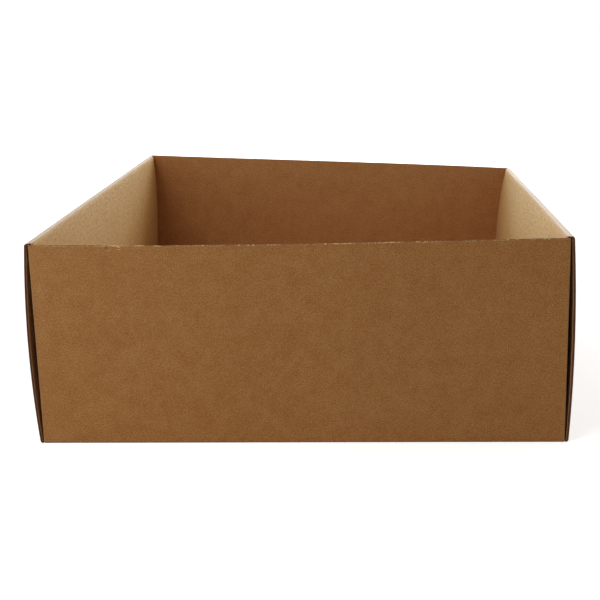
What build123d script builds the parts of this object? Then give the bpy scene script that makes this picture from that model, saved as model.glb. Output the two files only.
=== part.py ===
from build123d import *
from math import cos, radians, sin, tan
import os

os.makedirs("parts", exist_ok=True)

# The tray is one die-cut blank of corrugated board, folded up and held by its own side walls.
# Its front and back panels stand up from the base and carry four flaps, which are tucked
# along the sides. Each side wall goes up, turns over the flaps on a narrow double-creased
# spine and comes down again inside, where its tabs lock into slots in the base.
# Sizes are in millimetres. X runs along the front panel, Y from front to back, Z up.
# The origin is the middle of the base's underside.

# Board
board = 1.6
fold_inner = 0.3
fold_outer = fold_inner + board
layer_gap = 0.25

# Tray
width = 350.0
depth = 400.0
height = 136.0

# Set of the folded walls, in degrees
twist = 3.0
outer_bow_left = 5.0
outer_bow_right = 3.5
inner_bow_left = 5.6
inner_bow_right = 8.2

# Tuck flaps
flap_length = 95.0
flap_drop = 0.8
flap_taper = 5.0
flap_lift = 1.5
flap_corner = 12.0

# Locking tabs and their slots
tab_length = 60.0
tab_spacing = depth / 2
tab_stop = 0.5
slot_play = 0.5

# Trims at the ends of the folds
side_setback = 0.3
inner_setback = 0.6

# Fold lines: the centres of the base folds, and where the end panels' corner folds finish
side_fold = width / 2 + layer_gap - fold_inner
end_fold = depth / 2 - fold_outer

# The spine bridges the flap with one air gap on each side of it
spine = board + 2 * layer_gap - 2 * fold_inner
spine_end = 0.9 * spine
base_top = board + layer_gap


# A wall leans more towards the back end, because the tray stands slightly twisted.
# The share is 0 at the front fold line and 1 at the back one.
def lean_at(y):
    return twist * (y + end_fold) / (2 * end_fold)


# Height of the rim line at a wall line that stands this far out from the middle. The line
# is square to the lean, so it drops towards the side that the tray leans to.
def rim_height(side, y, outward):
    lean = radians(lean_at(y))
    return height - side * outward * sin(lean) * cos(lean)


# Drawing plane across the tray: its own X points outwards from the middle, its own Y up
def station(side, y):
    return Plane(origin=(0, y, 0), x_dir=(side, 0, 0), z_dir=(0, -side, 0))


# A point of an upright wall section, moved along with the lean of the wall
def leaned(side, y, outward, up):
    return (outward + side * (up - fold_outer) * tan(radians(lean_at(y))), up)


# Line of a side wall's section at one depth inside its outer face: from the base fold over
# the spine and down inside. Both panels bow away from each other between their folds.
def wall_line(side, y, inset):
    outer_bow = outer_bow_right if side > 0 else outer_bow_left
    inner_bow = inner_bow_right if side > 0 else inner_bow_left
    rim_reach = (rim_height(side, y, side_fold) - fold_outer) / cos(radians(lean_at(y)))
    wall_top = fold_outer + rim_reach + layer_gap + board
    outer_chord = wall_top - 2 * fold_outer * (1 - sin(radians(outer_bow)))
    inner_chord = wall_top - fold_outer * (1 - sin(radians(inner_bow))) - tab_stop
    outer_radius = outer_chord / (2 * sin(radians(outer_bow))) - inset
    inner_radius = inner_chord / (2 * sin(radians(inner_bow))) - inset
    fold = fold_outer - inset
    base_turn = 90 - outer_bow - side * lean_at(y)
    with BuildLine() as line:
        hem = Line((side_fold - layer_gap, inset), (side_fold, inset))
        base_fold = JernArc(hem @ 1, hem % 1, fold, base_turn)
        outer_panel = JernArc(base_fold @ 1, base_fold % 1, outer_radius, 2 * outer_bow)
        outer_fold = JernArc(outer_panel @ 1, outer_panel % 1, fold, 90 - outer_bow)
        top = Line(outer_fold @ 1, outer_fold @ 1 + spine * (outer_fold % 1))
        inner_fold = JernArc(top @ 1, top % 1, fold, 90 - inner_bow)
        JernArc(inner_fold @ 1, inner_fold % 1, inner_radius, 2 * inner_bow)
    return line.wire()


# Section of a side wall: one strip of board between its outer face and its inner face
def wall_section(side, y):
    outer_face = wall_line(side, y, 0)
    inner_face = wall_line(side, y, board)
    with BuildSketch(station(side, y)) as section:
        with BuildLine():
            add(outer_face)
            add(inner_face)
            Line(outer_face @ 0, inner_face @ 0)
            Line(outer_face @ 1, inner_face @ 1)
        make_face()
    return section.sketch


# Tab strip of a side wall seen from above: everything between, before and behind the tabs
def tab_gaps(side):
    with BuildSketch(Plane.XY.offset(-board)) as gaps:
        with Locations((side * (width / 2 - 3 * board), 0)):
            Rectangle(5 * board, depth)
        with GridLocations(0, tab_spacing, 1, 2):
            Rectangle(width + depth, tab_length, mode=Mode.SUBTRACT)
    return gaps.sketch


# A side wall, with its inner panel cut shorter than the spine so that it fits between
# the end panels
def side_wall(side):
    reach = depth / 2 - side_setback
    stop = depth / 2 - board - inner_setback
    with BuildPart() as wall:
        loft([wall_section(side, -reach), wall_section(side, reach)], ruled=True)
        for end in (-1, 1):
            with BuildSketch(station(side, end * stop)):
                Polygon(
                    leaned(side, end * stop, side_fold - spine_end, -board),
                    leaned(side, end * stop, side_fold - spine_end, 2 * height),
                    leaned(side, end * stop, width / 4, 2 * height),
                    leaned(side, end * stop, width / 4, -board),
                    align=None,
                )
            extrude(amount=-end * side * (board + inner_setback), mode=Mode.SUBTRACT)
        extrude(tab_gaps(side), amount=board + base_top, mode=Mode.SUBTRACT)
    return wall.part


# Front or back panel with the two corner folds that its flaps hang on
def end_wall(end):
    lean = radians(lean_at(end * end_fold))
    upwards = (sin(lean), 0, cos(lean))
    with BuildPart() as wall:
        with BuildSketch(Plane.XY.offset(fold_outer)):
            with BuildLine():
                left_fold = JernArc((-width / 2, end * end_fold), (0, end), fold_outer, -end * 90)
                face = Line(left_fold @ 1, (width / 2 - fold_outer, end * depth / 2))
                JernArc(face @ 1, face % 1, fold_outer, -end * 90)
                offset(amount=board, side=Side.RIGHT if end > 0 else Side.LEFT)
            make_face()
        extrude(amount=2 * height, dir=upwards)
        rim_middle = ((height - fold_outer) * tan(lean), 0, height)
        rim = Plane(origin=rim_middle, x_dir=(0, 1, 0), z_dir=upwards)
        split(bisect_by=rim, keep=Keep.BOTTOM)
    return wall.part


# Upright section of a tuck flap, which lies between the two panels of the side wall
def flap_section(side, y, drop):
    hidden, outer = width / 2 - board, width / 2
    with BuildSketch(station(side, y)) as section:
        Polygon(
            leaned(side, y, hidden, base_top + flap_lift),
            leaned(side, y, outer, base_top + flap_lift),
            leaned(side, y, outer, rim_height(side, y, outer) - drop),
            leaned(side, y, hidden, rim_height(side, y, hidden) - drop),
            align=None,
        )
    return section.sketch


# A tuck flap, from its corner fold to its free edge, where its top has sloped down and its
# two corners are rounded so that they slide in
def flap(end, side):
    free_end = end * (end_fold - flap_length)
    with BuildPart() as tuck:
        loft(
            [
                flap_section(side, end * end_fold, flap_drop),
                flap_section(side, free_end, flap_drop + flap_taper),
            ],
            ruled=True,
        )
        free_edge = tuck.faces().sort_by(Axis.Y)[-1 if end < 0 else 0]
        fillet(free_edge.edges().sort_by(SortBy.LENGTH)[:2], radius=flap_corner)
    return tuck.part


with BuildPart() as tray:
    # Base, with the folds that the front and back panels stand on
    with BuildSketch(Plane.YZ):
        with BuildLine():
            front_fold = JernArc((-depth / 2, fold_outer), (0, -1), fold_outer, 90)
            underside = Line(front_fold @ 1, (end_fold, 0))
            JernArc(underside @ 1, underside % 1, fold_outer, 90)
            offset(amount=board, side=Side.LEFT)
        make_face()
    extrude(amount=width / 2 - fold_outer, both=True)
    with BuildSketch():
        Rectangle(2 * side_fold, 2 * end_fold)
    extrude(amount=board)

    # Slots for the locking tabs of the inner side panels
    slot_line = width / 2 - board - layer_gap - board / 2
    with BuildSketch():
        with GridLocations(2 * slot_line, tab_spacing, 2, 2):
            Rectangle(board + 2 * slot_play, tab_length + 2 * slot_play)
    extrude(amount=board, mode=Mode.SUBTRACT)

    # Front and back panels, and their flaps
    for end in (-1, 1):
        add(end_wall(end))
        for side in (-1, 1):
            add(flap(end, side))

    # Side walls, which close over the flaps
    for side in (-1, 1):
        add(side_wall(side))

tray.part.label = "tray"
export_step(tray.part, "parts/tray.step")
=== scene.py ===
# %% [markdown]
# # A cardboard tray box
#
# The tray is one sheet of brown corrugated board. It is cut and creased flat, then folded:
# the front and back panels stand up, their flaps turn in along the sides, and each side
# wall rolls over those flaps and locks into the base. This lesson builds it the same way.
# We write down where every point of the flat sheet goes when it is folded, give the sheet
# its thickness, and then dress the paper faces and the cut edges.
#
# The packed CAD model is the frame. Everything here sits in its place and at its size.

# %% Load the frame
import math

import bpy
import numpy as np
from mathutils import Euler, Matrix


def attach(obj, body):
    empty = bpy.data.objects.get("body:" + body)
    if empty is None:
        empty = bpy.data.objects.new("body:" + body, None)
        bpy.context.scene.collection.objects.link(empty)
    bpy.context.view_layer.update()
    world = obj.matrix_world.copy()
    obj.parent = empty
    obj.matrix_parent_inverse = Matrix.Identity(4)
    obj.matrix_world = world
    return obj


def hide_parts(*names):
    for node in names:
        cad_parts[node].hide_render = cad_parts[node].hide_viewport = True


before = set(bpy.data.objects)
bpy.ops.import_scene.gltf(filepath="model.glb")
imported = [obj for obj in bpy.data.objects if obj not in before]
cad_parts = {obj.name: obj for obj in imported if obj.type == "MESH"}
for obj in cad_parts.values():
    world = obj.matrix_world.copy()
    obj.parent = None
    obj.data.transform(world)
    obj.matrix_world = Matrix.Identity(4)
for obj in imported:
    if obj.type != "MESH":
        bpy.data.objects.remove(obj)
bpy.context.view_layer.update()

# %% [markdown]
# ## Sizes of the board and the tray
#
# These are the real sizes in metres. X runs along the front panel, Y from front to back and
# Z up. The board is 1.6 mm thick. Where it rolls over the flaps it turns in wide folds. The
# creases of the base are pressed tight, and the upright ones at the corners are tighter
# still, which leaves a thin dark gap between the front panel and each side wall. The tray
# stands slightly twisted: its back leans three degrees to the right of its front, and that
# lean grows evenly along the sides.

# %% Board, tray and folds
BOARD = 0.0016
FOLD_INNER = 0.0003
FOLD_OUTER = BOARD + FOLD_INNER
GAP = 0.00025
WIDTH = 0.350
DEPTH = 0.400
HEIGHT = 0.136
TWIST = math.radians(3.0)

SIDE_FOLD = WIDTH / 2 + GAP - FOLD_INNER
END_FOLD = DEPTH / 2 - FOLD_OUTER
SPINE = BOARD + 2 * GAP - 2 * FOLD_INNER
BASE_TOP = BOARD + GAP

CREASE_OUTER = 0.0009
CREASE_INNER = 0.00015
CORNER_OUTER = 0.0004
CORNER_GAP = 0.0007
PANEL_EDGE = WIDTH / 2 - CORNER_GAP - CORNER_OUTER
END_LINE = DEPTH / 2 - CREASE_OUTER
CORNER_LINE = DEPTH / 2 - CORNER_OUTER
CREASE_SHIFT = BOARD + CREASE_INNER - CREASE_OUTER
CORNER_SHIFT = BOARD + CREASE_INNER - CORNER_OUTER

# How much higher than the frame's rim the paper's edge stands, at the left and right end of
# the front and back panels
RIM_RISE = {-1: (0.00065, 0.00070), 1: (0.0013, 0.00085)}


def lean_at(y):
    """Lean of the walls at depth y: the twist times the share of the way from the front
    fold line to the back one."""
    return TWIST * (y + END_FOLD) / (2 * END_FOLD)


def rim_height(side, y, outward):
    """Height of the rim over a wall line: the tray's height less the drop along a rim that
    is square to the lean."""
    lean = lean_at(y)
    return HEIGHT - side * outward * np.sin(lean) * np.cos(lean)


def panel_rim(end, across):
    """Height of an end panel's edge: the rim over the panel, which stands a little higher
    by an amount that grows evenly from its left end to its right."""
    left, right = RIM_RISE[end]
    share = (across / PANEL_EDGE + 1) / 2
    return rim_height(1, end * END_FOLD, across) + left + (right - left) * share


print(f"Rim at the back: {panel_rim(1, -PANEL_EDGE):.4f} left,"
      f" {panel_rim(1, PANEL_EDGE):.4f} right")

# %% [markdown]
# ## Cells of board
#
# A sheet of board can be thought of as a pavement of small slabs. Each slab has a printed
# side, a plain side and four cut sides. Where two slabs meet, their touching cut sides are
# inside the board and vanish. What is left is a closed skin, and every cut side that
# remains is a real cut edge: the rim, the slots, the ends of the flaps. A Solidify modifier
# could give a flat mesh its thickness too, but then both faces bend alike. Here each face
# follows its own curve, tight inside a crease and wider outside it, and we never model an
# edge by hand: we only say which slabs exist.

# %% A pavement of slabs
class Blank:
    """Collects slabs of board and turns them into one closed mesh."""

    def __init__(self):
        self.points, self.marks, self.quads, self.kinds = [], [], [], []
        self.count = 0

    def add(self, outer, inner, place, wear, keep, rows_follow_flutes=True):
        """Adds a grid of slabs. outer and inner are grids of points on the two faces of
        the board, place holds each point's two coordinates on the flat blank, wear its
        fold, spine and rim marks, and keep says which cells have board. The cut sides
        that close a row run along the flutes or across them."""
        rows, columns = keep.shape
        number = np.arange(outer.shape[0] * outer.shape[1]).reshape(outer.shape[:2])
        face = self.count + number
        back = face + number.size
        self.count += 2 * number.size
        for grid, across in ((outer, 0.0), (inner, 1.0)):
            depth = np.full(grid.shape[:2] + (1,), across)
            self.points.append(grid.reshape(-1, 3))
            self.marks.append(np.concatenate([place, depth, wear], axis=2).reshape(-1, 6))
        row, column = np.nonzero(keep)
        f00, f10 = face[row, column], face[row + 1, column]
        f11, f01 = face[row + 1, column + 1], face[row, column + 1]
        b00, b10 = back[row, column], back[row + 1, column]
        b11, b01 = back[row + 1, column + 1], back[row, column + 1]
        along_row, across_row = (2, 3) if rows_follow_flutes else (3, 2)
        sides = [
            ((f00, f10, f11, f01), 0), ((b00, b01, b11, b10), 1),
            ((b00, b10, f10, f00), across_row), ((b10, b11, f11, f10), along_row),
            ((b11, b01, f01, f11), across_row), ((b01, b00, f00, f01), along_row),
        ]
        middle = rows // 2, columns // 2
        along = outer[middle[0] + 1, middle[1]] - outer[middle]
        beside = outer[middle[0], middle[1] + 1] - outer[middle]
        outwards = np.dot(np.cross(along, beside), outer[middle] - inner[middle]) > 0
        for corners, kind in sides:
            quad = np.stack(corners, axis=1)
            self.quads.append(quad if outwards else quad[:, ::-1])
            self.kinds.append(np.full(len(quad), kind))

    def skin(self, weld=1e-5):
        """Welds points that share a place, drops every pair of faces with the same four
        corners, and returns points, marks, quads and kinds of what is left."""
        points, marks = np.concatenate(self.points), np.concatenate(self.marks)
        quads, kinds = np.concatenate(self.quads), np.concatenate(self.kinds)
        keys = np.round(points / weld).astype(np.int64)
        _, first, inverse = np.unique(keys, axis=0, return_index=True, return_inverse=True)
        quads = inverse.ravel()[quads]
        _, group, size = np.unique(
            np.sort(quads, axis=1), axis=0, return_inverse=True, return_counts=True)
        alone = size[group.ravel()] == 1
        quads, kinds = quads[alone], kinds[alone]
        used, renumbered = np.unique(quads, return_inverse=True)
        return points[first][used], marks[first][used], renumbered.reshape(quads.shape), kinds


blank = Blank()
print("An empty blank with", blank.count, "points")


# %% Grid lines
def lines(*parts):
    """Sorted grid lines from several lists, each line once."""
    return np.unique(np.round(np.concatenate([np.atleast_1d(p) for p in parts]), 7))


def mirrored(*places):
    """The given distances on both sides of the middle."""
    return np.array([sign * place for place in places for sign in (-1, 1)])


print("Fold lines across the tray:", mirrored(SIDE_FOLD).round(5))

# %% [markdown]
# ## Front panel, base and back panel
#
# The middle strip of the blank runs from the front rim down the front panel, round a
# crease, along the base, round the other crease and up the back panel. Its two grid
# directions are the place across the tray and the way along this path. The panels aren't
# quite flat: such thin board bows outwards between its corners, so its rim hangs a little
# lower there, and the die has left the front rim slightly uneven. Deform modifiers could
# bend a plane like this. A formula for each part keeps the folds exact, and the same one
# serves the front and the back.

# %% Bow and rim of the end panels
PANEL_HEIGHT = HEIGHT - CREASE_OUTER
PANEL_BOW = {-1: 0.0030, 1: 0.0045}
BACK_SAG, BACK_SLANT = 0.00006, -0.00057
FRONT_SAG, FRONT_SLANT = 0.00090, -0.00050
NICK_FADE = 0.0012

# Each nick's middle, half length and depth
RIM_NICKS = (
    (-0.1150, 0.0016, 0.00045),
    (-0.1240, 0.0009, 0.00030),
    (-0.0850, 0.0060, 0.00035),
    (0.0300, 0.0030, 0.00025),
    (0.0560, 0.0020, 0.00030),
    (0.1010, 0.0025, 0.00025),
)


def bow_out(end, across, share):
    """How far a panel bows outwards: a parabola that is nothing at both corner folds,
    times the height share to the power 1.5."""
    place = np.clip(across / PANEL_EDGE, -1, 1)
    return PANEL_BOW[end] * (1 - place ** 2) * np.clip(share, 0, 1) ** 1.5


def rim_dip(end, across, share):
    """How far the rim lies below its true line: a shallow hollow that is nothing at both
    ends and fades towards the base, and on the front panel a few small nicks of triangular
    outline, which fade within a few millimetres."""
    place = np.clip(across / PANEL_EDGE, -1, 1)
    hollow = (1 - place ** 2) * share
    if end > 0:
        return (BACK_SAG + BACK_SLANT * place) * hollow
    below = (1 - share) * PANEL_HEIGHT
    nicks = sum(
        depth * np.clip(1 - np.abs(across - middle) / reach, 0, 1)
        for middle, reach, depth in RIM_NICKS
    )
    wave = (FRONT_SAG + FRONT_SLANT * (place + place ** 2)) * hollow
    return wave + nicks * np.exp(-below / NICK_FADE)


print(f"Front rim: bow {1000 * bow_out(-1, 0.0, 1.0):.1f} mm in the middle,"
      f" {len(RIM_NICKS)} nicks")

# %% Faces of an end panel
PULL = 0.006


def pulled_in(nearness, inset, shift=CREASE_SHIFT):
    """How far the inner face's points lie from the outer face's near a crease, because a
    crease takes less board inside than outside: the crease shift times a smooth step of
    the nearness, which is 1 at the crease and 0 some millimetres away."""
    near = np.clip(nearness, 0, 1)
    return shift * near * near * (3 - 2 * near) * (inset / BOARD)


def crease_line(across, inset):
    """Place across the tray of a column on one face of the board."""
    beyond = np.abs(across) - PANEL_EDGE
    near = 1 - np.maximum(-beyond / PULL, beyond / (SIDE_FOLD - PANEL_EDGE))
    return across - np.sign(across) * pulled_in(near, inset, CORNER_SHIFT)


def end_panel(end, across, share, inset):
    """Point of an end panel: straight up from the base fold along the lean, to a share of
    the way to the rim, moved outwards by the bow and down by the rim's dip."""
    lean = lean_at(end * END_FOLD)
    foot = CREASE_OUTER + pulled_in(1 - share * PANEL_HEIGHT / PULL, inset)
    up = foot + share * (panel_rim(end, across) - foot) - rim_dip(end, across, share)
    x = crease_line(across, inset) + (up - FOLD_OUTER) * math.tan(lean)
    y = end * (DEPTH / 2 - inset + bow_out(end, across, share))
    return np.stack(np.broadcast_arrays(x, y, up), axis=-1)


print("Middle of the front rim:", end_panel(-1, np.zeros(1), 1.0, 0.0)[0].round(4))

# %% Grid lines of the middle strip
FLAP_FOOT = BASE_TOP + 0.0015
FLAP_DROP = 0.0012
SLOT_PLAY = 0.0005
SLOT_LINE = WIDTH / 2 - BOARD - GAP - BOARD / 2
TAB_LENGTH = 0.060
TAB_PLACE = DEPTH / 4
INNER_STOP = DEPTH / 2 - BOARD - 0.0006
SIDE_REACH = DEPTH / 2 - 0.0003
FOLD_STEPS = np.linspace(0, 1, 7)
CREASE_PATH = CREASE_OUTER * math.pi / 2

across_lines = lines(
    np.linspace(-SLOT_LINE + 0.002, SLOT_LINE - 0.002, 118),
    mirrored(SLOT_LINE - BOARD / 2 - SLOT_PLAY, SLOT_LINE + BOARD / 2 + SLOT_PLAY),
    mirrored(PANEL_EDGE - 0.0008, PANEL_EDGE, SIDE_FOLD),
    [middle + offset for middle, reach, _ in RIM_NICKS for offset in (-reach, 0, reach)],
)
up_shares = lines(
    np.linspace(0, 1, 28),
    np.array([0.0004, 0.0010, 0.0022, 0.0032, 0.0060, 0.0090]) / PANEL_HEIGHT,
    (FLAP_FOOT - CREASE_OUTER) / PANEL_HEIGHT,
    1 - np.array([0.0004, FLAP_DROP, 0.0016, 0.0028, 0.0056, 0.0090]) / PANEL_HEIGHT,
)
slot_ends = mirrored(*(TAB_PLACE + s * (TAB_LENGTH / 2 + SLOT_PLAY) for s in (-1, 1)))
tab_ends = mirrored(*(TAB_PLACE + s * TAB_LENGTH / 2 for s in (-1, 1)))
along_lines = lines(
    np.linspace(-END_FOLD, END_FOLD, 41), slot_ends, tab_ends, mirrored(INNER_STOP, END_LINE),
    mirrored(*(INNER_STOP - back for back in (0.0005, 0.0012, 0.0022, 0.0035))))
print(f"Grid lines: {len(across_lines)} across, {len(along_lines)} along,"
      f" {len(up_shares)} up a panel")


# %% Points of the middle strip
def quarter(end, across, step, inset):
    """Point of a base fold: a quarter circle about the fold line, from the panel (step 0)
    to the base (step 1)."""
    angle = step * math.pi / 2
    radius = CREASE_INNER if inset else CREASE_OUTER
    back = CREASE_OUTER + pulled_in(1, inset)
    y = end * (DEPTH / 2 - back + radius * np.cos(angle))
    z = back - radius * np.sin(angle)
    x = crease_line(across, inset)
    return np.stack(np.broadcast_arrays(x, y, z), axis=-1)


def middle_strip(inset):
    """The whole strip on one face of the board, stacked row after row."""
    x = across_lines[None, :]
    share, step = up_shares[:, None], FOLD_STEPS[1:-1, None]
    near = 1 - (END_LINE - np.abs(along_lines[:, None])) / PULL
    inside = np.clip((SIDE_FOLD - np.abs(x)) / (SIDE_FOLD - PANEL_EDGE), 0, 1)
    base_y = along_lines[:, None]
    base_y = base_y - np.sign(base_y) * pulled_in(near, inset) * inside
    base_x = x + (crease_line(x, inset) - x) * np.clip(near, 0, 1)
    base = np.stack(np.broadcast_arrays(base_x, base_y, np.full_like(base_y, inset)), axis=-1)
    return np.concatenate([
        end_panel(-1, x, share, inset)[::-1], quarter(-1, x, step, inset),
        base,
        quarter(1, x, step, inset)[::-1], end_panel(1, x, share, inset),
    ])


print("Points on one face of the strip:", middle_strip(0.0).shape[:2])

# %% Add the middle strip
panel_way = END_LINE + CREASE_PATH + up_shares * PANEL_HEIGHT
fold_way = END_LINE + CREASE_PATH * (1 - FOLD_STEPS[1:-1])
way = np.concatenate([-panel_way[::-1], -fold_way, along_lines, fold_way[::-1], panel_way])
below_rim = np.concatenate([
    (1 - up_shares[::-1]) * PANEL_HEIGHT, np.ones(len(fold_way) * 2 + len(along_lines)),
    (1 - up_shares) * PANEL_HEIGHT])
crease = np.sin(math.pi * np.clip((np.abs(way) - END_LINE) / CREASE_PATH, 0, 1))

x_mid = np.abs(across_lines[1:] + across_lines[:-1]) / 2
way_mid = np.abs(way[1:] + way[:-1]) / 2
in_slot = (np.abs(x_mid - SLOT_LINE) < BOARD / 2 + SLOT_PLAY)[None, :] & (
    np.abs(way_mid - TAB_PLACE) < TAB_LENGTH / 2 + SLOT_PLAY)[:, None]
keep = (x_mid < PANEL_EDGE)[None, :] | (way_mid < END_FOLD)[:, None]
keep = keep & ~in_slot

shape = (len(way), len(across_lines))
place = np.stack(np.broadcast_arrays(across_lines[None, :], way[:, None]), axis=-1)
wear = np.stack([
    np.broadcast_to(crease[:, None], shape), np.zeros(shape),
    np.broadcast_to(below_rim[:, None], shape)], axis=-1)
blank.add(middle_strip(0.0), middle_strip(BOARD), place, wear, keep)
print(f"Middle strip: {keep.sum()} slabs of {keep.size} cells")

# %% [markdown]
# ## Corner folds and tuck flaps
#
# A flap hangs on each upright edge of the end panels. The crease is a quarter circle seen
# from above. Behind it the flap runs along the side, inside the double wall, and leans with
# it. Its free end is cut back at the top and its corners are rounded, so it slides in. A
# flap could be a thin box of its own, but it would show a seam at the corner. Its first
# points are the panel's last ones instead, so the two weld into one sheet.

# %% Points of a flap
FLAP_FACE = WIDTH / 2 - 0.0002
FLAP_LENGTH = 0.095
FLAP_TAPER = 0.005
FLAP_CORNER = 0.012
FLAP_STEPS = np.linspace(0, 1, 16)[1:]


def corner_and_flap(end, side, inset):
    """Grid of one flap on one face. Columns go round the corner crease, a quarter circle
    seen from above, and then along the flap; rows go up by the same shares as the end
    panel, so the two weld."""
    share = up_shares[:, None]
    angle = FOLD_STEPS[None, :] * math.pi / 2
    radius = CREASE_INNER if inset else CORNER_OUTER
    shift = pulled_in(1, inset, CORNER_SHIFT)
    round_x = PANEL_EDGE - shift + radius * np.sin(angle)
    round_y = end * (CORNER_LINE - shift + radius * np.cos(angle))
    foot = CREASE_OUTER + pulled_in(1 - share * PANEL_HEIGHT / PULL, inset)
    lean = lean_at(end * END_FOLD)
    up = foot + share * (panel_rim(end, side * PANEL_EDGE) - foot) + 0 * round_x
    corner = np.stack(np.broadcast_arrays(
        side * round_x + (up - FOLD_OUTER) * math.tan(lean), round_y, up), axis=-1)

    run = FLAP_STEPS[None, :]
    level = share * PANEL_HEIGHT + CREASE_OUTER
    top = HEIGHT - FLAP_DROP
    edge = np.clip(np.minimum(level - FLAP_FOOT, top - level), 0, FLAP_CORNER)
    cut = FLAP_CORNER - np.sqrt(FLAP_CORNER ** 2 - (FLAP_CORNER - edge) ** 2)
    y = end * (CORNER_LINE - run * (FLAP_LENGTH - cut))
    fall = rim_height(side, y, FLAP_FACE) - rim_height(side, end * END_FOLD, FLAP_FACE)
    rise = panel_rim(end, side * PANEL_EDGE) + fall - foot - FLAP_TAPER * run
    up = foot + share * rise
    flap = np.stack(np.broadcast_arrays(
        side * (FLAP_FACE - inset) + (up - FOLD_OUTER) * np.tan(lean_at(y)), y, up), axis=-1)
    return np.concatenate([corner, flap], axis=1)


print("Points on one face of a flap:", corner_and_flap(-1, 1, 0.0).shape[:2])

# %% Add the four flaps
round_way = PANEL_EDGE + CREASE_PATH * FOLD_STEPS
flap_way = PANEL_EDGE + CREASE_PATH + FLAP_LENGTH * FLAP_STEPS
sideways = np.concatenate([round_way, flap_way])
share_mid = (up_shares[1:] + up_shares[:-1]) / 2 * PANEL_HEIGHT
on_corner = ((sideways[1:] + sideways[:-1]) / 2 < PANEL_EDGE + CREASE_PATH)[None, :]
flap_rows = (share_mid > FLAP_FOOT - CREASE_OUTER) & (share_mid < PANEL_HEIGHT - FLAP_DROP)
flap_keep = on_corner | flap_rows[:, None]
corner_mark = np.where(
    sideways <= PANEL_EDGE + CREASE_PATH,
    np.sin(math.pi * np.clip((sideways - PANEL_EDGE) / CREASE_PATH, 0, 1)), 0)

for end in (-1, 1):
    for side in (-1, 1):
        shape = (len(up_shares), len(sideways))
        place = np.stack(np.broadcast_arrays(
            side * sideways[None, :], end * panel_way[:, None]), axis=-1)
        wear = np.stack([
            np.broadcast_to(corner_mark[None, :], shape), np.zeros(shape),
            np.broadcast_to(((1 - up_shares) * PANEL_HEIGHT)[:, None], shape)], axis=-1)
        blank.add(corner_and_flap(end, side, 0.0), corner_and_flap(end, side, BOARD),
                  place, wear, flap_keep)
print(f"Flaps: {int(flap_keep.sum())} slabs each")

# %% [markdown]
# ## Rolled-over side walls
#
# The section of a side wall is one long path: round the base crease, up the outer panel,
# round a crease, across the narrow spine, round another crease and down the inner panel to
# the tabs. Panels and bevelled corners could be placed one by one, but every change would
# open a gap. We walk the path like a turtle instead: each piece starts where the last one
# ended, in the direction it had, and turns by its own angle. Because the board is folded
# over something, its two panels bow away from each other. The two creases crush the board,
# so it is thinner on the spine, and the corners of the inner panel are pinched against the
# end panels.

# %% Section of a side wall
OUTER_BOW = {-1: math.radians(5.0), 1: math.radians(3.5)}
INNER_BOW = {-1: math.radians(5.6), 1: math.radians(8.2)}
TAB_STOP = 0.0005
SPINE_SINK = 0.0011
SPINE_STEPS = np.array([0.0, 0.5, 0.9, 1.0])


def walk(start, heading, radius, turn, share):
    """Points of an arc walked from a start in a heading, by shares of its turn: each is the
    start plus the radius times the change of the heading's sine and minus its cosine."""
    angle = heading + share[:, None] * turn
    x = start[0] + radius * (np.sin(angle) - np.sin(heading))
    z = start[1] + radius * (np.cos(heading) - np.cos(angle))
    return x, z, angle


def wall_path(side, y):
    """Walks the outer face of a side wall at every depth y at once. Each piece of the path
    is its radius, its turn, its steps, its fold mark, and its spine mark at both ends; the
    spine itself is straight, so it has no radius and its length in place of a turn. Returns
    the distances outwards and up, the headings, the way walked and both marks."""
    outer_bow, inner_bow = OUTER_BOW[side], INNER_BOW[side]
    lean = lean_at(y)
    reach = (rim_height(side, y, SIDE_FOLD) - FOLD_OUTER) / np.cos(lean)
    sink = SPINE_SINK * np.clip((y + END_FOLD) / (2 * END_FOLD), 0, 1)
    wall_top = FOLD_OUTER + reach + GAP + BOARD - sink
    outer_chord = wall_top - 2 * FOLD_OUTER * (1 - math.sin(outer_bow))
    inner_chord = wall_top - FOLD_OUTER * (1 - math.sin(inner_bow)) - TAB_STOP
    panel = lines(np.linspace(0, 1, 25), [0.003, 0.008, 0.018, 0.982, 0.992, 0.997])
    tab_share = 1 - (BASE_TOP - TAB_STOP) / HEIGHT
    down = lines(panel[panel < tab_share - 0.002], [tab_share, 1.0])
    pieces = (
        (FOLD_OUTER, math.pi / 2 - outer_bow - side * lean, FOLD_STEPS, 1, 0, 0),
        (outer_chord / (2 * math.sin(outer_bow)), 2 * outer_bow + 0 * y, panel, 0, 0, 0),
        (FOLD_OUTER, math.pi / 2 - outer_bow + 0 * y, FOLD_STEPS, 1, 0, 1),
        (None, SPINE, SPINE_STEPS, 0, 1, 1),
        (FOLD_OUTER, math.pi / 2 - inner_bow + 0 * y, FOLD_STEPS, 1, 1, 0),
        (inner_chord / (2 * math.sin(inner_bow)), 2 * inner_bow + 0 * y, down, 0, 0, 0),
    )
    x, z = SIDE_FOLD + 0 * y, 0 * y
    angle, way = 0 * y, 0.0
    out = []
    for radius, turn, share, fold, spine_from, spine_to in pieces:
        if radius is None:
            xs = x + turn * share[:, None] * np.cos(angle)
            zs = z + turn * share[:, None] * np.sin(angle)
            angles = angle + 0 * xs
            ways = way + turn * share
        else:
            xs, zs, angles = walk((x, z), angle, radius, turn, share)
            ways = way + float(np.mean(radius * turn)) * share
        fold_mark = np.sin(math.pi * share) * fold
        spine_mark = spine_from + (spine_to - spine_from) * share
        walked = (xs, zs, angles, ways, fold_mark, spine_mark)
        out.append([values[1 if out else 0:] for values in walked])
        x, z, angle, way = xs[-1], zs[-1], angles[-1], ways[-1]
    return [np.concatenate(values) for values in zip(*out)]


wall_lines = lines(along_lines, mirrored(SIDE_REACH))
print("Points on one face of a side wall:", wall_path(1, wall_lines)[0].shape)

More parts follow.
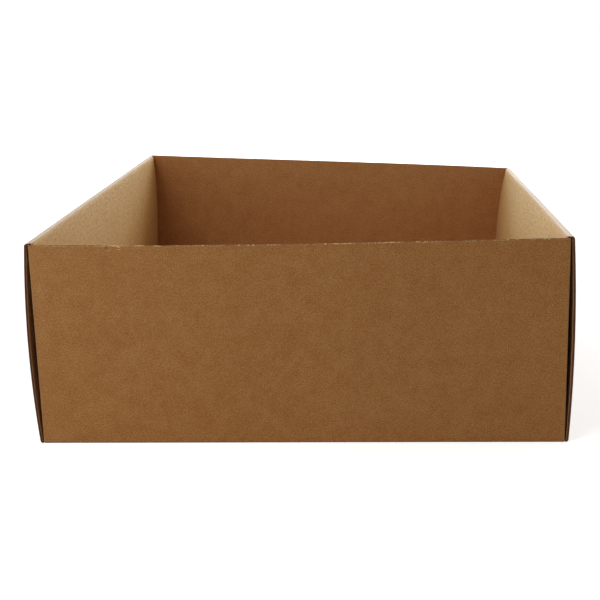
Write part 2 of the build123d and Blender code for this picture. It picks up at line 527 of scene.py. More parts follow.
# %% Crushed and pinched board
SPINE_BOARD = 0.0010
CRUSH_REACH = 0.010
PINCHED = 0.00035
PINCH_REACH = 0.0035
PINCH_FROM = 0.0015
PINCH_TO = 0.006


def crushed(walked, spine_mark):
    """How far the board is crushed, from 0 to 1: fully on the spine, and fading out as a
    square over a centimetre down both panels next to it."""
    top = walked[np.isclose(spine_mark, 1)]
    beyond = np.maximum(top.min() - walked, walked - top.max())
    return np.clip(1 - np.maximum(beyond, 0) / CRUSH_REACH, 0, 1) ** 2


def pinched(down, y):
    """How far the board is pinched at the ends of an inner panel, from 0 to 1: the square
    of the nearness to the end, times a value that sets in just below the spine, stays full
    for some millimetres and then fades."""
    near_end = np.clip(1 - (INNER_STOP - np.abs(y)) / PINCH_REACH, 0, 1) ** 2
    return near_end * np.clip(down / PINCH_FROM, 0, 1) * np.clip(2 - down / PINCH_TO, 0, 1)


print(f"Board: {1000 * BOARD} mm, on the spine {1000 * SPINE_BOARD} mm")

# %% Add the side walls
NEAR_SPINE = 0.2
wall_mid = np.abs(wall_lines[1:] + wall_lines[:-1]) / 2
for side in (-1, 1):
    outward, up, heading, walked, fold_mark, spine_mark = wall_path(side, wall_lines)
    y = np.broadcast_to(wall_lines, outward.shape)
    outer = np.stack([side * outward, y, up], axis=-1)
    inward = np.stack([-side * np.sin(heading), 0 * y, np.cos(heading)], axis=-1)
    place = np.stack([side * (SIDE_FOLD + np.broadcast_to(walked[:, None], y.shape)), y],
                     axis=-1)
    crush = crushed(walked, spine_mark)
    thick = BOARD + (SPINE_BOARD - BOARD) * crush[:, None] + 0 * y
    spine_row = int(np.argmax(np.isclose(spine_mark, 1) & (fold_mark < 0.01))) + 2
    stretched = np.maximum(spine_mark, NEAR_SPINE * crush)
    wear = np.stack(np.broadcast_arrays(
        fold_mark[:, None], stretched[:, None], np.ones(y.shape)), axis=-1)
    row = np.arange(len(walked) - 1)[:, None]
    in_tab = (np.abs(wall_mid - TAB_PLACE) < TAB_LENGTH / 2)[None, :]
    keep = (row < spine_row) | (wall_mid < INNER_STOP)[None, :]
    keep = keep & ((row < len(walked) - 2) | in_tab)
    pinch = pinched((walked - walked[spine_row])[:, None], y)
    blank.add(outer + ((thick - PINCHED) * pinch)[..., None] * inward,
              outer + thick[..., None] * inward, place, wear, keep, rows_follow_flutes=False)
    print(f"Side wall {side:+d}: rows to the spine {spine_row}, slabs {int(keep.sum())}")

# %% [markdown]
# ## The cut edges
#
# Corrugated board is a sandwich: a thin liner, a wavy medium and another thin liner. A cut
# shows this. The liners stay sharp and the medium between them is crushed a little below
# them, so each cut edge is two thin lips with a hollow between and a low ridge in it. A
# texture could draw that on a flat side, but a carved edge also holds in close views and in
# low light. We carve it into every cut side of the slabs, as a small profile that is
# carried along it.

# %% Carve the cut edges
LIP = 0.00022
HOLLOW = 0.00042
RIDGE = 0.00016
LIP_SHARE = LIP / BOARD
SLOPE = 0.05
RIDGE_HALF = 0.08
LEAST_LENGTH = 0.2

# Share of the way through the board, and depth
EDGE_PROFILE = (
    (0.0, 0.0), (LIP_SHARE, 0.0), (LIP_SHARE + SLOPE, HOLLOW), (0.5 - RIDGE_HALF, HOLLOW),
    (0.5, RIDGE), (0.5 + RIDGE_HALF, HOLLOW), (1 - LIP_SHARE - SLOPE, HOLLOW),
    (1 - LIP_SHARE, 0.0), (1.0, 0.0),
)


def carve(points, marks, quads, kinds):
    """Replaces each cut side by strips that follow the edge profile. A side joins two pairs
    of points through the board. Each pair gets one direction, the mean normal of the cut
    sides that meet there, and the profile's points lie between the two ends of the pair,
    sunk by the profile's depth along it."""
    cut = kinds >= 2
    faces = quads[cut]
    from_back = marks[faces[:, 0], 2] > 0.5
    start = np.where(from_back[:, None], faces[:, [3, 0]], faces[:, [0, 3]])
    stop = np.where(from_back[:, None], faces[:, [2, 1]], faces[:, [1, 2]])
    normal = np.cross(points[faces[:, 1]] - points[faces[:, 0]],
                      points[faces[:, 3]] - points[faces[:, 0]])
    normal /= np.linalg.norm(normal, axis=1)[:, None]
    pairs, which = np.unique(np.concatenate([start, stop]), axis=0, return_inverse=True)
    which = which.ravel()
    total = np.zeros((len(pairs), 3))
    np.add.at(total, which, np.concatenate([normal, normal]))
    length = np.linalg.norm(total, axis=1)
    direction = total / np.maximum(length, LEAST_LENGTH)[:, None]
    across = np.array([t for t, _ in EDGE_PROFILE])[None, :, None]
    sunk = np.array([d for _, d in EDGE_PROFILE])[None, :, None]
    front, back = points[pairs[:, 0]][:, None], points[pairs[:, 1]][:, None]
    profile = front + (back - front) * across - direction[:, None] * sunk
    front, back = marks[pairs[:, 0]][:, None], marks[pairs[:, 1]][:, None]
    profile_marks = front + (back - front) * across
    count = len(EDGE_PROFILE)
    number = len(points) + np.arange(len(pairs) * count).reshape(len(pairs), count)
    number[:, 0], number[:, -1] = pairs[:, 0], pairs[:, 1]
    a, b = number[which[:len(faces)]], number[which[len(faces):]]
    strips = np.stack([a[:, :-1], b[:, :-1], b[:, 1:], a[:, 1:]], axis=-1).reshape(-1, 4)
    flip = np.repeat(from_back, count - 1)
    strips = np.where(flip[:, None], strips[:, ::-1], strips)
    return (np.concatenate([points, profile.reshape(-1, 3)]),
            np.concatenate([marks, profile_marks.reshape(-1, 6)]),
            np.concatenate([quads[~cut], strips]),
            np.concatenate([kinds[~cut], np.repeat(kinds[cut], count - 1)]))


points, marks, quads, kinds = carve(*blank.skin())
sides_per_edge = np.unique(
    np.sort(np.stack([quads, np.roll(quads, -1, axis=1)], axis=-1), axis=-1).reshape(-1, 2),
    axis=0, return_counts=True)[1]
print(f"Skin: {len(points)} points, {len(quads)} faces, open edges"
      f" {(sides_per_edge == 1).sum()}, shared by more than two {(sides_per_edge > 2).sum()}")

# %% [markdown]
# ## One mesh for the whole sheet
#
# The sheet is a single piece, so it becomes a single object. Each point keeps its place on
# the flat blank and its marks as attributes. A pattern that reads the place on the blank
# runs over a crease without a break, the way the paper's own fibres do.

# %% The folded board
def store(mesh, name, values):
    """Stores three numbers per point as a vector attribute."""
    attribute = mesh.attributes.new(name, "FLOAT_VECTOR", "POINT")
    attribute.data.foreach_set("vector", values.astype(np.float32).ravel())


SHARP = math.radians(38)
mesh = bpy.data.meshes.new("folded_board")
mesh.from_pydata(points.tolist(), [], quads.tolist())
mesh.update()
store(mesh, "sheet", marks[:, :3])
store(mesh, "wear", marks[:, 3:])
mesh.polygons.foreach_set("use_smooth", np.ones(len(quads), dtype=bool))
mesh.set_sharp_from_angle(angle=SHARP)
board = bpy.data.objects.new("folded_board", mesh)
bpy.context.scene.collection.objects.link(board)
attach(board, "root")
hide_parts("tray")
print("Triangles:", 2 * len(quads))

# %% [markdown]
# ## Helpers for materials
#
# A material is a small network of nodes. These helpers add a node, set its values and link
# its inputs, so that each finish below reads as a list of steps.

# %% A tree of nodes
class Tree:
    """Adds nodes to one node tree from left to right."""

    def __init__(self, tree):
        self.tree = tree
        tree.nodes.clear()

    def node(self, kind, settings=None, **inputs):
        """Adds a node. settings are its own values, and inputs are numbers, colours or
        output sockets by the name of the input, with _ for a space."""
        made = self.tree.nodes.new(kind)
        made.location = (180 * (len(self.tree.nodes) % 12), -260 * (len(self.tree.nodes) // 12))
        for name, value in (settings or {}).items():
            setattr(made, name, value)
        for name, value in inputs.items():
            self.put(made, name.replace("_", " "), value)
        return made

    def put(self, made, name, value):
        """Sets or links one input of a node."""
        socket = next(s for s in made.inputs if s.name == name and s.enabled)
        if isinstance(value, bpy.types.NodeSocket):
            self.tree.links.new(value, socket)
        else:
            socket.default_value = value

    def math(self, operation, *values, clamp=False):
        """A Math node's result for one to three values."""
        made = self.tree.nodes.new("ShaderNodeMath")
        made.operation, made.use_clamp = operation, clamp
        for socket, value in zip(made.inputs, values):
            if isinstance(value, bpy.types.NodeSocket):
                self.tree.links.new(value, socket)
            else:
                socket.default_value = value
        return made.outputs[0]

    def ramp(self, value, low, high):
        """Smooth step of a value: 0 up to low and 1 from high on."""
        made = self.node("ShaderNodeMapRange", {"interpolation_type": "SMOOTHSTEP"},
                         Value=value, From_Min=low, From_Max=high)
        return made.outputs["Result"]

    def noise(self, vector, scale, detail=2.0, roughness=0.5):
        """Value of a noise texture."""
        made = self.node("ShaderNodeTexNoise", Vector=vector, Scale=scale, Detail=detail,
                         Roughness=roughness)
        return made.outputs["Fac"]

    def scaled(self, vector, scale, offset=(0, 0, 0)):
        """A vector stretched by a scale in each direction and then moved."""
        made = self.node("ShaderNodeMapping", Vector=vector, Location=offset, Scale=scale)
        return made.outputs["Vector"]

    def mixed(self, share, first, second, blend="MIX"):
        """Mix of two colours by a share."""
        made = self.tree.nodes.new("ShaderNodeMix")
        made.data_type, made.blend_type = "RGBA", blend
        for index, value in ((0, share), (6, first), (7, second)):
            if isinstance(value, bpy.types.NodeSocket):
                self.tree.links.new(value, made.inputs[index])
            else:
                made.inputs[index].default_value = value
        return made.outputs[2]


print("Node helpers:", ", ".join(name for name in vars(Tree) if name[0] != "_"))


# %% Groups and colours
FLOAT, VECTOR = "NodeSocketFloat", "NodeSocketVector"


def group(name, inputs, outputs):
    """Starts a node group with named inputs and outputs. Returns the group, its Tree, its
    inputs and its output node."""
    made = bpy.data.node_groups.new(name, "ShaderNodeTree")
    for label, kind, value in inputs:
        socket = made.interface.new_socket(name=label, in_out="INPUT", socket_type=kind)
        if value is not None:
            socket.default_value = value
    for label, kind in outputs:
        made.interface.new_socket(name=label, in_out="OUTPUT", socket_type=kind)
    tree = Tree(made)
    return (made, tree, made.nodes.new("NodeGroupInput").outputs,
            made.nodes.new("NodeGroupOutput"))


def place_group(tree, made, **inputs):
    """Places a node group in a material with its own values."""
    return tree.node("ShaderNodeGroup", {"node_tree": made}, **inputs)


def linear(red, green, blue):
    """A colour of 0 to 255 per channel as linear light: the screen curve taken away."""
    c = np.array([red, green, blue]) / 255
    c = np.where(c <= 0.04045, c / 12.92, ((c + 0.055) / 1.055) ** 2.4)
    return (*(float(v) for v in c), 1.0)


print("Middle grey as linear light:", round(linear(128, 128, 128)[0], 3))

# %% [markdown]
# ## Brown paper
#
# The liner is unbleached kraft paper. Close up it is a felt of fibres that lie mostly along
# the way the paper ran through the machine, which is across the flutes. There are lighter
# and darker fibres, small dark specks of bark and a few pale ones, and over some
# centimetres the felt is a little cloudy. A picture of paper could be wrapped round the
# tray. Layers of noise need no seam, stay fine in close views and can follow the flutes.
# One group gives all of them, so both faces of the board share it.

# %% Paper felt group
felt, t, given, out = group(
    "paper_felt",
    [("Sheet", VECTOR, None), ("Fibres", FLOAT, 1.0), ("Specks", FLOAT, 1.0),
     ("Clouds", FLOAT, 1.0)],
    [("Tone", FLOAT), ("Height", FLOAT), ("Specks", FLOAT), ("Flecks", FLOAT)])
sheet = given["Sheet"]
threads = t.noise(t.scaled(sheet, (2900, 900, 0)), 1.0, 3.0, 0.6)
tufts = t.noise(t.scaled(sheet, (1250, 1050, 0), (3, 7, 0)), 1.0, 1.5, 0.8)
cloud = t.noise(t.scaled(sheet, (70, 60, 0), (5, 1, 0)), 1.0, 5.5, 1.0)
drift = t.noise(t.scaled(sheet, (16, 12, 0), (2, 9, 0)), 1.0, 2.0, 0.5)
fibre = t.math("ADD", t.math("MULTIPLY", t.math("SUBTRACT", threads, 0.5), 0.7),
               t.math("SUBTRACT", tufts, 0.5))
cloudy = t.math("ADD", t.math("SUBTRACT", cloud, 0.5),
                t.math("MULTIPLY", t.math("SUBTRACT", drift, 0.5), 0.12))
speck_cell = t.node("ShaderNodeTexVoronoi", {"feature": "F1"},
                    Vector=t.scaled(sheet, (520, 300, 0), (1, 4, 0)), Scale=1.0)
speck_pick = t.noise(t.scaled(sheet, (260, 260, 0), (8, 8, 0)), 1.0, 1.0)
speck = t.math("MULTIPLY", t.math("SUBTRACT", 1.0, t.ramp(
    speck_cell.outputs["Distance"], 0.10, 0.26)), t.ramp(speck_pick, 0.60, 0.70))
fleck_cell = t.node("ShaderNodeTexVoronoi", {"feature": "F1"},
                    Vector=t.scaled(sheet, (330, 420, 0), (7, 2, 0)), Scale=1.0)
fleck = t.math("MULTIPLY", t.ramp(fleck_cell.outputs["Color"], 0.74, 0.80), t.math(
    "SUBTRACT", 1.0, t.ramp(fleck_cell.outputs["Distance"], 0.06, 0.16)))
tone = t.math("ADD", t.math("MULTIPLY", fibre, given["Fibres"]),
              t.math("MULTIPLY", cloudy, given["Clouds"]))
t.put(out, "Tone", tone)
t.put(out, "Height", fibre)
t.put(out, "Specks", t.math("MULTIPLY", speck, given["Specks"]))
t.put(out, "Flecks", t.math("MULTIPLY", fleck, given["Specks"]))
print("Group:", felt.name)

# %% [markdown]
# ## Creases
#
# Board doesn't bend like sheet metal. On the outside of a crease the liner is stretched, so
# it gets paler and shows fine cracks across the fold; on a sharp spine, which is creased
# twice, the whole strip is pale, and beside it some fibres are lifted, which is shown as a
# stronger painted sheen. Along the rim the cut has lifted fibres too, which show as a row
# of pale dots. The front panel also has a few scuffs at its rim and one dark spot. All this
# could be painted by hand. The marks that we stored with the folds put it exactly where the
# board was bent or cut, and this group reads them.

# %% Crease and rim group
FRONT_RIM = -(END_LINE + CREASE_PATH + PANEL_HEIGHT)

# Each patch's middle, its distance below the rim, its half length and half height
SCUFFS = (
    (-0.0890, 0.0001, 0.0024, 0.0003),
    (-0.1010, 0.0001, 0.0040, 0.0002),
    (-0.1160, 0.0001, 0.0080, 0.0002),
    (0.0310, 0.0001, 0.0085, 0.0002),
    (0.0600, 0.0001, 0.0090, 0.0002),
    (-0.1140, 0.0025, 0.0018, 0.0002),
    (-0.1140, 0.0010, 0.0012, 0.0002),
    (-0.1210, 0.0030, 0.0026, 0.0001),
)
SPOT = (-0.1224, 0.0014, 0.0006, 0.0005)


def patch(tree, sheet, middle, below, reach, height):
    """Mask of a small oval on the front panel, at a place along the rim and a distance
    below it, with its half length and half height."""
    scale = (1 / reach, 1 / height, 0)
    centre = (-middle / reach, -(FRONT_RIM + below) / height, 0)
    away = tree.node("ShaderNodeVectorMath", {"operation": "LENGTH"},
                     Vector=tree.scaled(sheet, scale, centre)).outputs["Value"]
    return tree.math("SUBTRACT", 1.0, tree.ramp(away, 0.7, 1.1))


stretch, t, given, out = group(
    "crease_wear",
    [("Sheet", VECTOR, None), ("Marks", VECTOR, None)],
    [("Pale", FLOAT), ("Cracks", FLOAT), ("Rim", FLOAT), ("Bent", FLOAT), ("Beside", FLOAT),
     ("Spot", FLOAT)])
parts = t.node("ShaderNodeSeparateXYZ", Vector=given["Marks"])
crease_mark, spine_mark, rim_place = (parts.outputs[k] for k in range(3))
broken = t.noise(t.scaled(given["Sheet"], (180, 180, 0), (4, 4, 0)), 1.0, 4.0, 0.65)
crack = t.noise(t.scaled(given["Sheet"], (2400, 2400, 0), (6, 1, 0)), 1.0, 4.0, 0.7)
uneven = t.math("ADD", 0.75, t.math("MULTIPLY", t.math("SUBTRACT", broken, 0.5), 1.2))
spine = t.ramp(spine_mark, NEAR_SPINE, 1.0)
pale = t.math("MULTIPLY", t.math("MAXIMUM", t.math("MULTIPLY", crease_mark, 0.2), spine),
              uneven, clamp=True)
t.put(out, "Pale", pale)
t.put(out, "Bent", t.math("MAXIMUM", crease_mark, t.math("MULTIPLY", spine, 0.7)))
t.put(out, "Beside", t.math("MULTIPLY", t.ramp(spine_mark, 0.0, NEAR_SPINE),
                            t.math("SUBTRACT", 1.0, spine)))
t.put(out, "Cracks", t.math("MULTIPLY", t.math("MAXIMUM", crease_mark, spine),
                            t.ramp(crack, 0.56, 0.70)))
near_rim = t.math("SUBTRACT", 1.0, t.ramp(rim_place, 0.0001, 0.0009))
lifted = t.noise(t.scaled(given["Sheet"], (650, 650, 0), (2, 5, 0)), 1.0, 3.0, 0.8)
rim = t.math("MULTIPLY", near_rim, t.math(
    "MULTIPLY", t.ramp(lifted, 0.47, 0.60), t.ramp(broken, 0.40, 0.60)))
for row in SCUFFS:
    rim = t.math("MAXIMUM", rim, t.math(
        "MULTIPLY", patch(t, given["Sheet"], *row), t.ramp(lifted, 0.38, 0.52)))
t.put(out, "Rim", rim)
t.put(out, "Spot", patch(t, given["Sheet"], *SPOT))
print("Group:", stretch.name)

# %% [markdown]
# ## The two faces of the board
#
# Both liners are the same kind of paper; the inner one is given a lighter base colour and a
# more saturated dark. Kraft paper looks different at a flat angle: its loose fibres, the nap,
# stand in front of the sheet and catch the light, so they look much paler, a sheen. The
# shader's own sheen could whiten flat angles, but evenly. So it only helps a little here,
# and we paint the sheen into the base colour by the view angle, in strands that follow the
# fibres. The nap is pressed flat on a bend, so the painted sheen fades there, and it is
# lifted beside a spine. In a sheltered corner the painted sheen is mostly taken away and
# the colour is tinted browner, as painted shade, because the light there has already met
# brown paper. The crease group's masks and a fine bump from the felt's height complete the
# paper.

# %% Colours of the paper
KRAFT = linear(178, 129, 77)
KRAFT_DARK = linear(134, 76, 4)
INNER_KRAFT = linear(197, 149, 95)
INNER_DARK = linear(125, 64, 0)
KRAFT_PALE = linear(197, 180, 159)
FIBRE_PALE = linear(226, 196, 150)
BARK = linear(84, 54, 32)
SHEEN_TINT = (1.0, 1.0, 0.8, 1.0)
# The next two colours are the sheen of paper at flat angles, painted into the base colour: a
# painted sheen. The third tints it browner in sheltered corners, as painted shade.
PAINTED_SHEEN = linear(245, 225, 174)
PAINTED_SHEEN_DARK = linear(218, 172, 98)
PAINTED_SHEEN_SHADE_TINT = (1.0, 0.78, 0.36, 1.0)
print("Nap as linear light:", [round(v, 2) for v in PAINTED_SHEEN[:3]])

# %% The painted sheen
# Strength of the painted sheen: its power of the view angle, the share left in painted shade,
# and how much a bend takes away and a spine's side adds.
PAINTED_SHEEN_POWER = 1.4
PAINTED_SHEEN_IN_SHADE = 0.30
PAINTED_SHEEN_LOST_ON_BEND = 0.95
PAINTED_SHEEN_LIFTED = 0.6


def painted_sheen_on(t, sheet, share, worn, open_air):
    """Share and colour of the painted sheen, the paper's sheen at flat angles painted into the
    base colour. The share is the view angle to a power, a little more or less by strands,
    times values that fall in shelter, as painted shade, and on bends and rise beside a spine.
    The colour goes from dark to light with the felt's share and the strands, and is tinted
    browner in shelter, as painted shade."""
    facing = t.node("ShaderNodeLayerWeight", Blend=0.5).outputs["Facing"]
    strands = t.noise(t.scaled(sheet, (480, 170, 0), (6, 2, 0)), 1.0, 3.0, 0.8)
    strands = t.math("MULTIPLY", t.math("SUBTRACT", strands, 0.5), 2.8)
    # Painted sheen: its share grows with the view angle.
    painted_sheen = t.math("MULTIPLY", t.math("POWER", facing, PAINTED_SHEEN_POWER), t.math(
        "ADD", 1.2, t.math("MULTIPLY", strands, 0.2)), clamp=True)
    # Painted shade: the painted sheen is cut back where ambient occlusion finds little open
    # air.
    airy = t.ramp(open_air, 0.45, 0.80)
    painted_sheen = t.math("MULTIPLY", painted_sheen, t.math(
        "ADD", PAINTED_SHEEN_IN_SHADE, t.math("MULTIPLY", airy, 1 - PAINTED_SHEEN_IN_SHADE)))
    painted_sheen = t.math("MULTIPLY", painted_sheen, t.math("SUBTRACT", 1.0, t.math(
        "MULTIPLY", worn.outputs["Bent"], PAINTED_SHEEN_LOST_ON_BEND)))
    painted_sheen = t.math("MULTIPLY", painted_sheen, t.math("ADD", 1.0, t.math(
        "MULTIPLY", worn.outputs["Beside"], PAINTED_SHEEN_LIFTED)), clamp=True)
    pale_share = t.math("ADD", share, strands, clamp=True)
    # Painted shade on the painted sheen's colour: tinted browner where there is little open
    # air.
    colour = t.mixed(t.math("SUBTRACT", 1.0, airy), t.mixed(pale_share, PAINTED_SHEEN_DARK, PAINTED_SHEEN),
                     PAINTED_SHEEN_SHADE_TINT, "MULTIPLY")
    return painted_sheen, colour


print("Share of the nap that is left in shelter:", PAINTED_SHEEN_IN_SHADE)


# %% Liner materials
def liner(name, base, dark, roughness, fibres, clouds, shelter):
    """Material of one face. The share of the base colour is one half plus the felt's tone.
    Then come the painted sheen, worn and pale places, specks, the spot, cracks and the browner
    tint of sheltered places, which is painted shade. shelter holds the two limits of open air
    between which that painted shade fades, and its tint."""
    material = bpy.data.materials.new(name)
    material.use_nodes = True
    t = Tree(material.node_tree)
    sheet = t.node("ShaderNodeAttribute", {"attribute_name": "sheet"}).outputs["Vector"]
    marks = t.node("ShaderNodeAttribute", {"attribute_name": "wear"}).outputs["Vector"]
    paper = place_group(t, felt, Sheet=sheet, Fibres=fibres, Specks=0.3, Clouds=clouds)
    worn = place_group(t, stretch, Sheet=sheet, Marks=marks)
    share = t.math("ADD", 0.5, paper.outputs["Tone"], clamp=True)
    open_air = t.node("ShaderNodeAmbientOcclusion", {"samples": 8}, Distance=0.25)
    open_air = open_air.outputs["AO"]
    painted_sheen, painted_sheen_colour = painted_sheen_on(t, sheet, share, worn, open_air)
    # The painted sheen is mixed over the paper's own colour.
    colour = t.mixed(painted_sheen, t.mixed(share, dark, base), painted_sheen_colour)
    colour = t.mixed(t.math("MULTIPLY", worn.outputs["Pale"], 0.9), colour, KRAFT_PALE)
    colour = t.mixed(t.math("MULTIPLY", worn.outputs["Rim"], 0.9), colour, FIBRE_PALE)
    colour = t.mixed(paper.outputs["Flecks"], colour, FIBRE_PALE)
    colour = t.mixed(t.math("MAXIMUM", paper.outputs["Specks"], worn.outputs["Spot"]),
                     colour, BARK)
    colour = t.mixed(t.math("MULTIPLY", worn.outputs["Cracks"], 0.35), colour, dark)
    # Painted shade: the colour is multiplied by a browner tint where ambient occlusion finds
    # little open air.
    low, high, painted_shade_tint = shelter
    colour = t.mixed(t.math("SUBTRACT", 1.0, t.ramp(open_air, low, high)), colour,
                     painted_shade_tint, "MULTIPLY")
    bump = t.node("ShaderNodeBump", Height=paper.outputs["Height"], Strength=0.6,
                  Distance=0.0002)
    rough = t.math("ADD", roughness, t.math("MULTIPLY", paper.outputs["Tone"], 0.15))
    shader = t.node("ShaderNodeBsdfPrincipled", Base_Color=colour, Roughness=rough,
                    Normal=bump.outputs["Normal"], IOR=1.5)
    t.put(shader, "Specular IOR Level", 0.2)
    t.put(shader, "Sheen Weight", 0.12)
    t.put(shader, "Sheen Roughness", 0.5)
    t.put(shader, "Sheen Tint", SHEEN_TINT)
    output = t.node("ShaderNodeOutputMaterial", Surface=shader.outputs["BSDF"])
    material.node_tree.nodes.active = output
    return material


# The last value of each is the painted shade of sheltered corners: its two limits of open air
# and its tint.
outer_liner = liner("kraft_outer_liner", KRAFT, KRAFT_DARK, 0.62, 2.1, 1.25,
                    (0.26, 0.50, (0.58, 0.38, 0.34, 1)))
inner_liner = liner("kraft_inner_liner", INNER_KRAFT, INNER_DARK, 0.66, 1.45, 0.75,
                    (0.45, 0.74, (0.88, 0.77, 0.68, 1)))
print("Liners:", outer_liner.name, inner_liner.name)

# %% [markdown]
# ## The cut
#
# Where the blade ran along the flutes it met the medium as one long ridge that wanders
# between the liners. Where it ran across them it shows the wave itself. Both are the same
# dull, rough paper. In the hollow between the liners the flutes open into the board, and
# their shade is painted there as a dark colour. The shape is carved already, so this finish
# only adds the wave, the torn fibres, the painted shade of the hollow and the pale dots of
# the rim.

# %% Cut edge materials
CUT = linear(168, 116, 78)
# The second colour is painted shade for the open flutes in the hollow of a cut.
CUT_HOLLOW_SHADE = linear(66, 36, 22)
FLUTE_PITCH = 0.0033
FLUTE_SWING = 0.36
RIDGE_SWING = 0.22


def cut_edge(name, across_flutes):
    """Material of a cut: lips at both faces, painted shade in the hollows, and between them the
    medium, as a slowly wandering ridge or as a sine wave of the flutes' pitch."""
    material = bpy.data.materials.new(name)
    material.use_nodes = True
    t = Tree(material.node_tree)
    sheet = t.node("ShaderNodeAttribute", {"attribute_name": "sheet"}).outputs["Vector"]
    marks = t.node("ShaderNodeAttribute", {"attribute_name": "wear"}).outputs["Vector"]
    worn = place_group(t, stretch, Sheet=sheet, Marks=marks)
    parts = t.node("ShaderNodeSeparateXYZ", Vector=sheet)
    torn = t.noise(t.scaled(sheet, (900, 900, 6)), 1.0, 4.0, 0.7)
    if across_flutes:
        line = t.math("MULTIPLY", FLUTE_SWING, t.math("SINE", t.math(
            "MULTIPLY", parts.outputs["Y"], 2 * math.pi / FLUTE_PITCH)))
    else:
        line = t.math("MULTIPLY", RIDGE_SWING, t.math("SUBTRACT", t.noise(
            t.scaled(sheet, (45, 45, 0)), 1.0, 2.0), 0.5))
    off_line = t.math("ABSOLUTE", t.math(
        "SUBTRACT", t.math("SUBTRACT", parts.outputs["Z"], 0.5), line))
    medium = t.math("SUBTRACT", 1.0, t.ramp(off_line, 0.05, 0.14))
    from_middle = t.math("ABSOLUTE", t.math("SUBTRACT", parts.outputs["Z"], 0.5))
    lip = t.ramp(from_middle, 0.34, 0.40)
    paper = t.math("MAXIMUM", t.math("MULTIPLY", medium, 0.75), lip)
    paper = t.math("MULTIPLY", paper, t.math(
        "ADD", 0.2, t.math("MULTIPLY", torn, 1.5)), clamp=True)
    # Painted shade in the hollow wherever there is no paper.
    colour = t.mixed(paper, CUT_HOLLOW_SHADE, CUT)
    colour = t.mixed(t.math("MULTIPLY", worn.outputs["Rim"], 0.7), colour, FIBRE_PALE)
    bump = t.node("ShaderNodeBump", Height=torn, Strength=0.5, Distance=0.0003)
    shader = t.node("ShaderNodeBsdfPrincipled", Base_Color=colour, Roughness=0.85,
                    Normal=bump.outputs["Normal"], IOR=1.5)
    t.put(shader, "Specular IOR Level", 0.25)
    t.node("ShaderNodeOutputMaterial", Surface=shader.outputs["BSDF"])
    return material


for material in (outer_liner, inner_liner, cut_edge("cut_along_flutes", False),
                 cut_edge("cut_across_flutes", True)):
    mesh.materials.append(material)
mesh.polygons.foreach_set("material_index", kinds.astype(np.int32))
mesh.update()
print("Materials:", [m.name for m in mesh.materials])

# %% [markdown]
# ## Floor and background
#
# The tray stands on a plain white floor in front of a plain white world. The floor takes a
# soft shadow. Stronger lamps could make them white, but they would wash out the brown. So
# both look white to the camera, and the world to glossy reflections too, while the light
# they give stays at a plain level. Near the tray the floor gives up part of its own white,
# so that the shadow shows, and under the tray all of it, so that the slots for the tabs
# look dark.

# %% A plain white world
WORLD_LIGHT = 0.07


def white_seen(tree, seen, lit):
    """Strength of a plain white: one value for camera, glossy and transmission rays, and
    another for the light that it gives."""
    path = tree.node("ShaderNodeLightPath").outputs
    ray = tree.math("MAXIMUM", path["Is Camera Ray"], tree.math(
        "MAXIMUM", path["Is Glossy Ray"], path["Is Transmission Ray"]))
    return tree.math("ADD", lit, tree.math("MULTIPLY", ray, seen - lit))


world = bpy.data.worlds.new("white_room")
world.use_nodes = True
t = Tree(world.node_tree)
sky = t.node("ShaderNodeBackground", Color=(1, 1, 1, 1),
             Strength=white_seen(t, 1.0, WORLD_LIGHT))
t.node("ShaderNodeOutputWorld", Surface=sky.outputs["Background"])
bpy.context.scene.world = world
print("World:", world.name)

# %% The floor
FLOOR = 12.0
FLOOR_GREY = (0.65, 0.65, 0.65, 1)
NEAR_WHITE = 0.6
WHITE_FROM, WHITE_TO = 0.35, 1.6
UNDER = 0.001

floor_mesh = bpy.data.meshes.new("floor")
floor_mesh.from_pydata(
    [(-FLOOR, -FLOOR, 0), (FLOOR, -FLOOR, 0), (FLOOR, FLOOR, 0), (-FLOOR, FLOOR, 0)], [],
    [(0, 1, 2, 3)])
floor = bpy.data.objects.new("floor", floor_mesh)
bpy.context.scene.collection.objects.link(floor)
floor_paint = bpy.data.materials.new("white_floor")
floor_paint.use_nodes = True
t = Tree(floor_paint.node_tree)
path = t.node("ShaderNodeLightPath").outputs
place = t.node("ShaderNodeTexCoord").outputs["Object"]
away = t.node("ShaderNodeVectorMath", {"operation": "LENGTH"}, Vector=place).outputs["Value"]
seen_white = t.math("ADD", NEAR_WHITE, t.math(
    "MULTIPLY", t.ramp(away, WHITE_FROM, WHITE_TO), 1.0 - NEAR_WHITE))
sides = t.node("ShaderNodeSeparateXYZ", Vector=place).outputs
beside = t.math(
    "MAXIMUM", t.math("SUBTRACT", t.math("ABSOLUTE", sides["X"]), WIDTH / 2 - UNDER),
    t.math("SUBTRACT", t.math("ABSOLUTE", sides["Y"]), DEPTH / 2 - UNDER))
seen_white = t.math("MULTIPLY", seen_white, t.math("GREATER_THAN", beside, 0.0))
shader = t.node("ShaderNodeBsdfPrincipled", Base_Color=FLOOR_GREY, Roughness=0.9)
t.put(shader, "Specular IOR Level", 0.0)
t.put(shader, "Emission Color", (1, 1, 1, 1))
t.put(shader, "Emission Strength", t.math("MULTIPLY", path["Is Camera Ray"], seen_white))
t.node("ShaderNodeOutputMaterial", Surface=shader.outputs["BSDF"])
floor_mesh.materials.append(floor_paint)
print("Floor:", 2 * FLOOR, "m square")

# %% [markdown]
# ## Light
#
# The main lamp stands high in front and to the left, as in the photograph, where the front
# panel is brightest at its upper left. A low lamp lifts the panel's foot. One lamp on each
# side and one above the tray light the insides of the walls, and two behind it light the
# outside of the back and the spines. A picture of a room on the world could light it all at
# once. Separate lamps can be matched to the photograph one by one. All are large, so every
# shadow is soft.

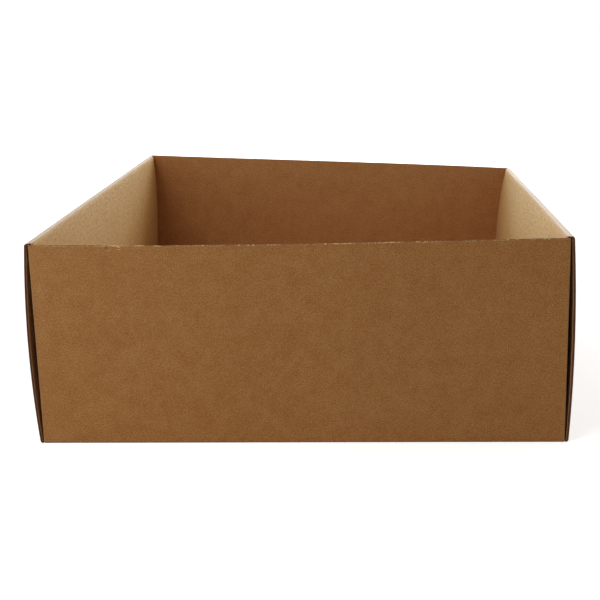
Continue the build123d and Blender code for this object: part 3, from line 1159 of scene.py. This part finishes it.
# %% Soft lamps
def lamp(name, place, aim, size, power):
    """A square area lamp at a place, aimed at a point: it looks down, then tips up by the
    angle to the point and turns towards it."""
    light = bpy.data.lights.new(name, "AREA")
    light.shape, light.size, light.energy = "SQUARE", size, power
    made = bpy.data.objects.new(name, light)
    towards = np.subtract(aim, place)
    level = math.hypot(towards[0], towards[1])
    made.location = place
    made.visible_camera = False
    made.rotation_euler = Euler((math.atan2(level, -towards[2]), 0,
                                 math.atan2(-towards[0], towards[1])))
    bpy.context.scene.collection.objects.link(made)


TRAY = (0.0, 0.0, 0.08)
LEFT_CORNER = (-0.1, 0.15, 0.05)
LAMPS = (
    ("front_lamp", (-0.5, -0.55, 1.1), TRAY, 0.8, 8.5),
    ("low_lamp", (-0.7, -1.0, 0.26), TRAY, 0.5, 3.0),
    ("left_lamp", (-1.5, 0.3, 0.8), TRAY, 0.8, 1.1),
    ("right_lamp", (1.4, 0.1, 1.0), TRAY, 0.8, 2.9),
    ("inner_lamp", (0.6, -0.1, 1.2), LEFT_CORNER, 0.6, 1.6),
    ("back_lamp", (0.0, 2.2, 0.5), TRAY, 1.2, 31.0),
    ("back_right_lamp", (1.2, 1.5, 1.0), TRAY, 1.0, 17.0),
)
for row in LAMPS:
    lamp(*row)
print("Lamps:", ", ".join(row[0] for row in LAMPS))

# %% [markdown]
# ## Camera
#
# The camera stands in front of the tray, a little to the right of its middle and about
# fourteen degrees above it, and looks slightly to the left. It could be placed by eye, but
# a tray's straight edges show every error. The numbers were found by matching its corners
# with the photograph.

# %% Camera
CAMERA_PLACE = (0.0492, -0.9193, 0.2790)
CAMERA_TURN = math.radians(3.753)
CAMERA_TILT = math.radians(90 - 14.066)
CAMERA_ROLL = math.radians(-1.486)
LENS = 68.84

camera_data = bpy.data.cameras.new("camera")
camera_data.lens = LENS
camera_data.sensor_width = 36.0
camera = bpy.data.objects.new("camera", camera_data)
camera.matrix_world = (
    Matrix.Translation(CAMERA_PLACE)
    @ Matrix.Rotation(CAMERA_TURN, 4, "Z")
    @ Matrix.Rotation(CAMERA_TILT, 4, "X")
    @ Matrix.Rotation(CAMERA_ROLL, 4, "Z")
)
bpy.context.scene.collection.objects.link(camera)
bpy.context.scene.camera = camera
bpy.context.scene.view_settings.view_transform = "Standard"
print("Camera at", CAMERA_PLACE)
